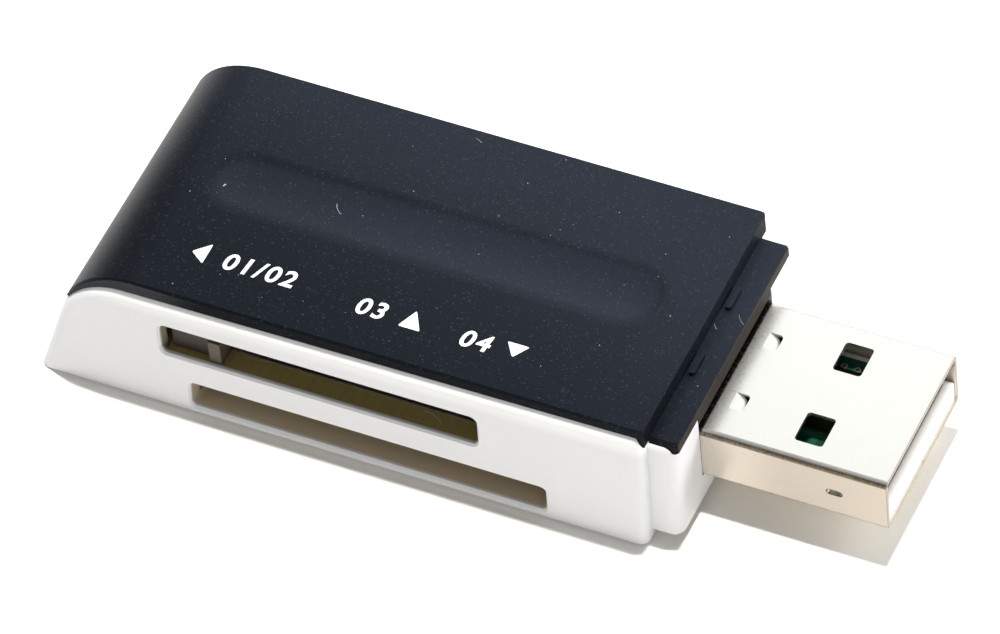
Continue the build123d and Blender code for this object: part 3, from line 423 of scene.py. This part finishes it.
# %% Board finish
board_green, recipe = new_finish("board_green")
place = recipe.place()
cloud = recipe.noise(place, 400.0, 3.0, 0.6)
weave_x = recipe.node("ShaderNodeTexWave", {"bands_direction": "X"}, {"Vector": place, "Scale": 420.0})
weave_y = recipe.node("ShaderNodeTexWave", {"bands_direction": "Y"}, {"Vector": place, "Scale": 420.0})
weave = 0.5 * weave_x + 0.5 * weave_y
dark = rgb(0.0, 0.0, 0.0)
lit = rgb(1.0, 1.0, 1.0)
track = recipe.node(
    "ShaderNodeTexBrick",
    {"offset": 0.35, "squash": 1.4},
    {"Vector": place, "Scale": 260.0, "Mortar Size": 0.06, "Color1": dark, "Color2": dark, "Mortar": lit},
)
bare = recipe.step(recipe.axis(place, "Y"), -8.4 * mm, -8.3 * mm, 1.0, 0.0)
lacquer = recipe.tint(cloud, rgb(0.004, 0.045, 0.024), rgb(0.008, 0.066, 0.036))
lacquer = recipe.tint(recipe.axis(track, "X") * 0.5, lacquer, rgb(0.02, 0.12, 0.065))
laminate = recipe.tint(0.4 * weave + 0.6 * cloud, rgb(0.25, 0.185, 0.055), rgb(0.33, 0.25, 0.085))
coat(
    recipe,
    Base_Color=recipe.tint(bare, lacquer, laminate),
    Roughness=0.3 + 0.35 * bare + 0.1 * cloud,
    Normal=recipe.bump(recipe.axis(track, "X") * (1.0 - bare) + 0.3 * weave * bare, 0.02 * mm, 0.5),
)
print("board finish:", len(board_green.node_tree.nodes), "nodes")

# %% [markdown]
# ## Small parts
# Moulded blocks, stamped sheets, gold contacts and soldered leads are hidden for the most
# part, but each can be seen through a slot or the plug's windows. Plastics share one
# function with their own colours and grain, and metals share another.

# %% Frame of the narrow slot, dark brown as painted shade, darker still on its wing
frame_beige, recipe = new_finish("frame_beige")
place = recipe.place()
grain = recipe.noise(place, 5000.0, 2.0, 0.6)
cloud = recipe.noise(place, 700.0, 3.0, 0.6)
# painted shade: the whole frame is painted dark as in shade, and the wing darker still
wing_in_shade = recipe.step(recipe.axis(place, "X"), -16.95 * mm, -16.8 * mm, 1.0, 0.0)
rail_painted_shade = recipe.tint(cloud, rgb(0.085, 0.067, 0.048), rgb(0.115, 0.092, 0.068))
wing_painted_shade = recipe.tint(cloud, rgb(0.02, 0.0125, 0.008), rgb(0.036, 0.024, 0.016))
coat(
    recipe,
    Base_Color=recipe.tint(wing_in_shade, rail_painted_shade, wing_painted_shade),
    Roughness=0.5 + 0.12 * cloud - 0.1 * wing_in_shade,
    Specular_IOR_Level=0.4,
    Normal=recipe.bump(grain, 0.01 * mm, 0.3),
)
print("frame finish:", len(frame_beige.node_tree.nodes), "nodes")

# %% Plastics and metals of the small parts
def moulded(name, dark, light, rough, grain_scale):
    material, recipe = new_finish(name)
    place = recipe.place()
    grain = recipe.noise(place, grain_scale, 2.0, 0.6)
    cloud = recipe.noise(place, 350.0, 3.0, 0.55)
    coat(
        recipe,
        Base_Color=recipe.tint(cloud, dark, light),
        Roughness=rough + 0.12 * cloud,
        Specular_IOR_Level=0.4,
        Normal=recipe.bump(grain, 0.01 * mm, 0.3),
    )
    return material


def stamped(name, dark, light, rough, lines):
    material, recipe = new_finish(name)
    place = recipe.place()
    drawn = recipe.noise(recipe.stretched(place, lines), 1.0, 3.0, 0.6)
    cloud = recipe.noise(place, 600.0, 3.0, 0.6)
    coat(
        recipe,
        Base_Color=recipe.tint(cloud, dark, light),
        Metallic=1.0,
        Roughness=rough + 0.12 * drawn + 0.08 * cloud,
        Normal=recipe.bump(drawn, 0.006 * mm, 0.3),
    )
    return material


gold_lines = (800.0, 9000.0, 9000.0)
steel_lines = (700.0, 8000.0, 8000.0)
tin_grain = (4000.0, 4000.0, 4000.0)
finishes = {
    "housing_white": housing_white,
    "cover_black": cover_black,
    "plated_sheet": plated_sheet,
    "board_green": board_green,
    "carrier_white": moulded("carrier_white", rgb(0.74, 0.73, 0.71), rgb(0.8, 0.79, 0.77), 0.4, 5000.0),
    "socket_black": moulded("socket_black", rgb(0.012, 0.012, 0.013), rgb(0.02, 0.02, 0.021), 0.45, 6000.0),
    "frame_beige": frame_beige,
    "capacitor_tan": moulded("capacitor_tan", rgb(0.3, 0.19, 0.1), rgb(0.4, 0.27, 0.15), 0.35, 9000.0),
    "contact_gold": stamped("contact_gold", rgb(0.3, 0.2, 0.075), rgb(0.36, 0.26, 0.11), 0.06, gold_lines),
    "socket_steel": stamped("socket_steel", rgb(0.55, 0.55, 0.54), rgb(0.68, 0.68, 0.66), 0.25, steel_lines),
    "lead_tin": stamped("lead_tin", rgb(0.62, 0.62, 0.62), rgb(0.75, 0.75, 0.74), 0.3, tin_grain),
}
print("finishes:", sorted(finishes))

# %% [markdown]
# ## Dressing the solids
# The packed record already says which finish each solid takes, so the script asks it
# instead of keeping a second list that could drift from the first.

# %% Give every solid its finish
for row in frame["record"]["subparts"]:
    solid = nodes[row["node"]]
    solid.data.materials.clear()
    solid.data.materials.append(finishes[row["material_slot"]])

# %% [markdown]
# ## Printed marks
# Three arrows show where the cards go and a plain number stands beside each. Ink lies on
# top of the grain as a film a few hundredths of a millimetre thick, so the marks are real
# thin shapes: arrows from three corner points with the corners cut round, numbers from
# the built-in font, thickened and turned into a mesh before they are moved into place.

# %% Printed marks
ink_foot = 10.79 * mm
ink_high = 0.025 * mm


def rounded(corners, cut, steps=4):
    """A polygon whose corners are replaced by short curves."""
    points = []
    for index, corner in enumerate(corners):
        before = corner + (corners[index - 1] - corner).normalized() * cut
        after = corner + (corners[(index + 1) % len(corners)] - corner).normalized() * cut
        for step in range(steps + 1):
            share = step / steps
            points.append(before * (1 - share) ** 2 + corner * 2 * share * (1 - share) + after * share ** 2)
    return points


def add_arrow(shape, corners):
    """A thin plate in the outline of an arrow, added to the mesh being built."""
    outline = rounded([Vector((x * mm, y * mm, ink_foot)) for x, y in corners], 0.16 * mm)
    face = shape.faces.new([shape.verts.new(point) for point in outline])
    grown = bmesh.ops.extrude_face_region(shape, geom=[face])
    top = [part for part in grown["geom"] if isinstance(part, bmesh.types.BMVert)]
    bmesh.ops.translate(shape, vec=(0.0, 0.0, ink_high), verts=top)


def add_number(shape, words, left, foot, high):
    """Bold figures as a mesh, scaled to a height in mm and set on a foot line."""
    letters = bpy.data.curves.new("figures", "FONT")
    letters.body = words
    letters.offset = 0.022
    letters.shear = 0.12
    letters.space_character = 1.2
    letters.extrude = 0.01
    holder = bpy.data.objects.new("figures", letters)
    bpy.context.scene.collection.objects.link(holder)
    seen = holder.evaluated_get(bpy.context.evaluated_depsgraph_get())
    mesh = bpy.data.meshes.new_from_object(seen)
    bpy.data.objects.remove(holder)
    low_x = min(point.co.x for point in mesh.vertices)
    low_y = min(point.co.y for point in mesh.vertices)
    tall = max(point.co.y for point in mesh.vertices) - low_y
    size = high * mm / tall
    mesh.transform(Matrix.Translation((-low_x, -low_y, 0.01)))
    mesh.transform(Matrix.Diagonal((size, size, ink_high / 0.02, 1.0)))
    mesh.transform(Matrix.Translation((left * mm, foot * mm, ink_foot)))
    shape.from_mesh(mesh)
    bpy.data.meshes.remove(mesh)


print_white, recipe = new_finish("print_white")
place = recipe.place()
film = recipe.noise(place, 5200.0, 3.0, 0.6)
coat(
    recipe,
    Base_Color=recipe.tint(film, rgb(0.74, 0.75, 0.77), rgb(0.9, 0.9, 0.91)),
    Roughness=0.4 + 0.2 * film,
    Specular_IOR_Level=0.35,
    Normal=recipe.bump(film, 0.01 * mm, 0.4),
)
shape = bmesh.new()
add_arrow(shape, [(-19.45, -6.3), (-18.35, -7.07), (-18.35, -5.27)])
add_arrow(shape, [(-3.3, -5.83), (-4.0, -7.4), (-2.41, -7.4)])
add_arrow(shape, [(4.15, -7.27), (4.92, -6.1), (3.33, -6.1)])
add_number(shape, "01/02", -17.05, -7.0, 1.45)
add_number(shape, "03", -7.2, -7.4, 1.45)
add_number(shape, "04", 0.35, -7.55, 1.45)
bmesh.ops.recalc_face_normals(shape, faces=shape.faces)
marks_mesh = bpy.data.meshes.new("printed_marks")
shape.to_mesh(marks_mesh)
shape.free()
marks = mesh_piece("printed_marks", marks_mesh, print_white, "housing_white")
print("printed marks:", len(marks_mesh.polygons), "faces")

# %% [markdown]
# ## Things that repeat: Geometry Nodes
# Plated holes, dust and fibres are each one small shape used again and again. A node tree
# with named inputs makes the shape, and `grow` runs it on a holder object, keeps the
# result as a plain mesh and throws the holder away, so nothing live is left behind.

# %% Trees and growing
def new_tree(name, inputs):
    """An empty tree with named inputs and one geometry output."""
    tree = bpy.data.node_groups.new(name, "GeometryNodeTree")
    for label, kind in inputs.items():
        tree.interface.new_socket(label, in_out="INPUT", socket_type="NodeSocket" + kind)
    tree.interface.new_socket("Result", in_out="OUTPUT", socket_type="NodeSocketGeometry")
    return tree, Recipe(tree)


def end_tree(recipe, geometry, material):
    """Every tree ends the same way: real mesh, smooth, with its material."""
    real = recipe.node("GeometryNodeRealizeInstances", {}, {"Geometry": geometry})
    smooth = recipe.node("GeometryNodeSetShadeSmooth", {}, {"Geometry": real})
    dressed = recipe.node("GeometryNodeSetMaterial", {}, {"Geometry": smooth, "Material": material})
    recipe.node("NodeGroupOutput", {}, {"Result": dressed})


def grow(name, tree, values, base=None):
    """Runs a tree once and returns its result as a plain mesh."""
    holder = bpy.data.objects.new(name, base or bpy.data.meshes.new(name))
    bpy.context.scene.collection.objects.link(holder)
    modifier = holder.modifiers.new("grow", "NODES")
    modifier.node_group = tree
    for socket in tree.interface.items_tree:
        if socket.name in values:
            modifier[socket.identifier] = values[socket.name]
    seen = holder.evaluated_get(bpy.context.evaluated_depsgraph_get())
    mesh = bpy.data.meshes.new_from_object(seen)
    mesh.name = name
    holder.modifiers.remove(modifier)
    bpy.data.objects.remove(holder)
    return mesh


print("trees end in real meshes with a material")

# %% [markdown]
# ## Plated holes
# Beside a gold pad the tongue has two tiny holes that carry a track to the other face.
# Each is a ring of tinned copper with a dark middle. A line of points carries the rings,
# and the same tree with other numbers makes the dark middles.

# %% Plated holes in the tongue
ring_inputs = {"Count": "Int", "Start": "Vector", "Step": "Vector", "Ring": "Float", "Bead": "Float"}


def ring_tree(name, material):
    tree, recipe = new_tree(name, ring_inputs)
    given = {label: recipe.node("NodeGroupInput", output=label) for label in ring_inputs}
    line = {"Count": given["Count"], "Start Location": given["Start"], "Offset": given["Step"]}
    points = recipe.node("GeometryNodeMeshLine", {"mode": "OFFSET"}, line)
    path = recipe.node("GeometryNodeCurvePrimitiveCircle", {}, {"Resolution": 24, "Radius": given["Ring"]})
    bead = recipe.node("GeometryNodeCurvePrimitiveCircle", {}, {"Resolution": 8, "Radius": given["Bead"]})
    ring = recipe.node("GeometryNodeCurveToMesh", {}, {"Curve": path, "Profile Curve": bead})
    flat = recipe.node("GeometryNodeTransform", {}, {"Geometry": ring, "Scale": (1.0, 1.0, 0.5)})
    rings = recipe.node("GeometryNodeInstanceOnPoints", {}, {"Points": points, "Instance": flat})
    end_tree(recipe, rings, material)
    return tree


first_hole = (22.45 * mm, 4.22 * mm, 4.955 * mm)
next_hole = (0.95 * mm, 0.0, 0.0)
hole_row = {"Count": 2, "Start": first_hole, "Step": next_hole, "Ring": 0.17 * mm, "Bead": 0.06 * mm}
core_row = {"Count": 2, "Start": first_hole, "Step": next_hole, "Ring": 0.06 * mm, "Bead": 0.06 * mm}
rings_mesh = grow("plated_holes", ring_tree("ring_row", finishes["lead_tin"]), hole_row)
cores_mesh = grow("hole_cores", ring_tree("core_row", finishes["socket_black"]), core_row)
mesh_piece("plated_holes", rings_mesh, finishes["lead_tin"], "lead_tin")
mesh_piece("hole_cores", cores_mesh, finishes["socket_black"], "socket_black")
print("plated holes:", len(rings_mesh.polygons) + len(cores_mesh.polygons), "faces")

# %% [markdown]
# ## Dust
# A dark grained face always carries a few pale specks. They are scattered only where the
# cover faces up, on a copy of its mesh with the doubled points merged, and a fixed seed
# keeps them in the same places every time.

# %% Dust on the cover
lint_pale, recipe = new_finish("lint_pale")
place = recipe.place()
uneven = recipe.noise(place, 6000.0, 3.0, 0.6)
coat(
    recipe,
    Base_Color=recipe.tint(uneven, rgb(0.34, 0.34, 0.34), rgb(0.56, 0.55, 0.53)),
    Roughness=0.75 + 0.15 * uneven,
    Specular_IOR_Level=0.2,
)
dust_inputs = {"Ground": "Geometry", "Density": "Float", "Size": "Float", "Seed": "Int"}
tree, recipe = new_tree("dust", dust_inputs)
given = {label: recipe.node("NodeGroupInput", output=label) for label in dust_inputs}
facing = recipe.axis(recipe.node("GeometryNodeInputNormal"), "Z")
raised = recipe.axis(recipe.node("GeometryNodeInputPosition"), "Z")
upward = recipe.node("ShaderNodeMath", {"operation": "GREATER_THAN"}, {0: facing, 1: 0.9})
on_top = recipe.node("ShaderNodeMath", {"operation": "GREATER_THAN"}, {0: raised, 1: 9.0 * mm})
spread = {"Mesh": given["Ground"], "Selection": upward * on_top}
spread["Density"] = given["Density"]
spread["Seed"] = given["Seed"]
points = recipe.node("GeometryNodeDistributePointsOnFaces", {}, spread)
grain_shape = recipe.node("GeometryNodeMeshIcoSphere", {}, {"Radius": given["Size"], "Subdivisions": 2})
least, most = 0.5, 1.4
uneven_size = {2: least, 3: most, "Seed": 7}
lumpy = recipe.node("FunctionNodeRandomValue", {"data_type": "FLOAT"}, uneven_size, output=1)
scatter = {"Points": points, "Instance": grain_shape, "Scale": lumpy}
end_tree(recipe, recipe.node("GeometryNodeInstanceOnPoints", {}, scatter), lint_pale)

shape = bmesh.new()
shape.from_mesh(nodes["top_cover"].data)
bmesh.ops.remove_doubles(shape, verts=shape.verts, dist=0.001 * mm)
ground = bpy.data.meshes.new("cover_copy")
shape.to_mesh(ground)
shape.free()
dust_mesh = grow("cover_dust", tree, {"Density": 42000.0, "Size": 0.03 * mm, "Seed": 11}, ground)
bpy.data.meshes.remove(ground)
mesh_piece("cover_dust", dust_mesh, lint_pale, "housing_white")
print("dust:", len(dust_mesh.polygons), "faces")

# %% [markdown]
# ## Fibres
# A bit of lint in the finger recess, a short scratch with its raised burr by the far edge,
# two pale hairlines on the neck and a hair caught in the upper slot. All are thin bent
# threads: one curve with a start, a middle and an end, swept by a small circle.

# %% Fibres and hairlines
thread_inputs = {"Start": "Vector", "Middle": "Vector", "End": "Vector", "Thickness": "Float"}
tree, recipe = new_tree("thread", thread_inputs)
given = {label: recipe.node("NodeGroupInput", output=label) for label in thread_inputs}
bent = {"Resolution": 14, "Start": given["Start"], "Middle": given["Middle"], "End": given["End"]}
path = recipe.node("GeometryNodeCurveQuadraticBezier", {}, bent)
section = {"Resolution": 6, "Radius": given["Thickness"]}
round_off = recipe.node("GeometryNodeCurvePrimitiveCircle", {}, section)
sweep = {"Curve": path, "Profile Curve": round_off, "Fill Caps": True}
swept = recipe.node("GeometryNodeCurveToMesh", {}, sweep)
end_tree(recipe, swept, lint_pale)

threads = {
    "recess_lint": ((-12.33, 1.08, 10.51), (-12.2, 0.6, 10.5), (-11.71, 0.37, 10.49), 0.02),
    "recess_crumb": ((-20.1, -0.2, 10.58), (-20.0, -0.1, 10.62), (-20.0, 0.0, 10.58), 0.05),
    "edge_scratch": ((-5.99, 9.44, 10.8), (-5.75, 9.35, 10.81), (-5.43, 9.17, 10.8), 0.012),
    "neck_hairline": ((14.75, 1.2, 9.3), (14.9, 0.9, 9.31), (15.1, 0.8, 9.3), 0.009),
    "tab_hairline": ((15.95, 2.46, 9.3), (16.2, 2.0, 9.31), (16.6, 1.78, 9.3), 0.009),
    "slot_hair": ((-1.67, -9.23, 5.1), (-0.9, -9.3, 5.35), (-0.26, -9.79, 5.12), 0.022),
}
shape = bmesh.new()
for name, (start, middle, end, thick) in threads.items():
    values = {"Start": Vector(start) * mm, "Middle": Vector(middle) * mm, "End": Vector(end) * mm}
    values["Thickness"] = thick * mm
    thread_mesh = grow(name, tree, values)
    shape.from_mesh(thread_mesh)
    bpy.data.meshes.remove(thread_mesh)
bmesh.ops.recalc_face_normals(shape, faces=shape.faces)
fibre_mesh = bpy.data.meshes.new("fibres")
shape.to_mesh(fibre_mesh)
shape.free()
mesh_piece("fibres", fibre_mesh, lint_pale, "housing_white")
print("fibres:", len(fibre_mesh.polygons), "faces")

# %% [markdown]
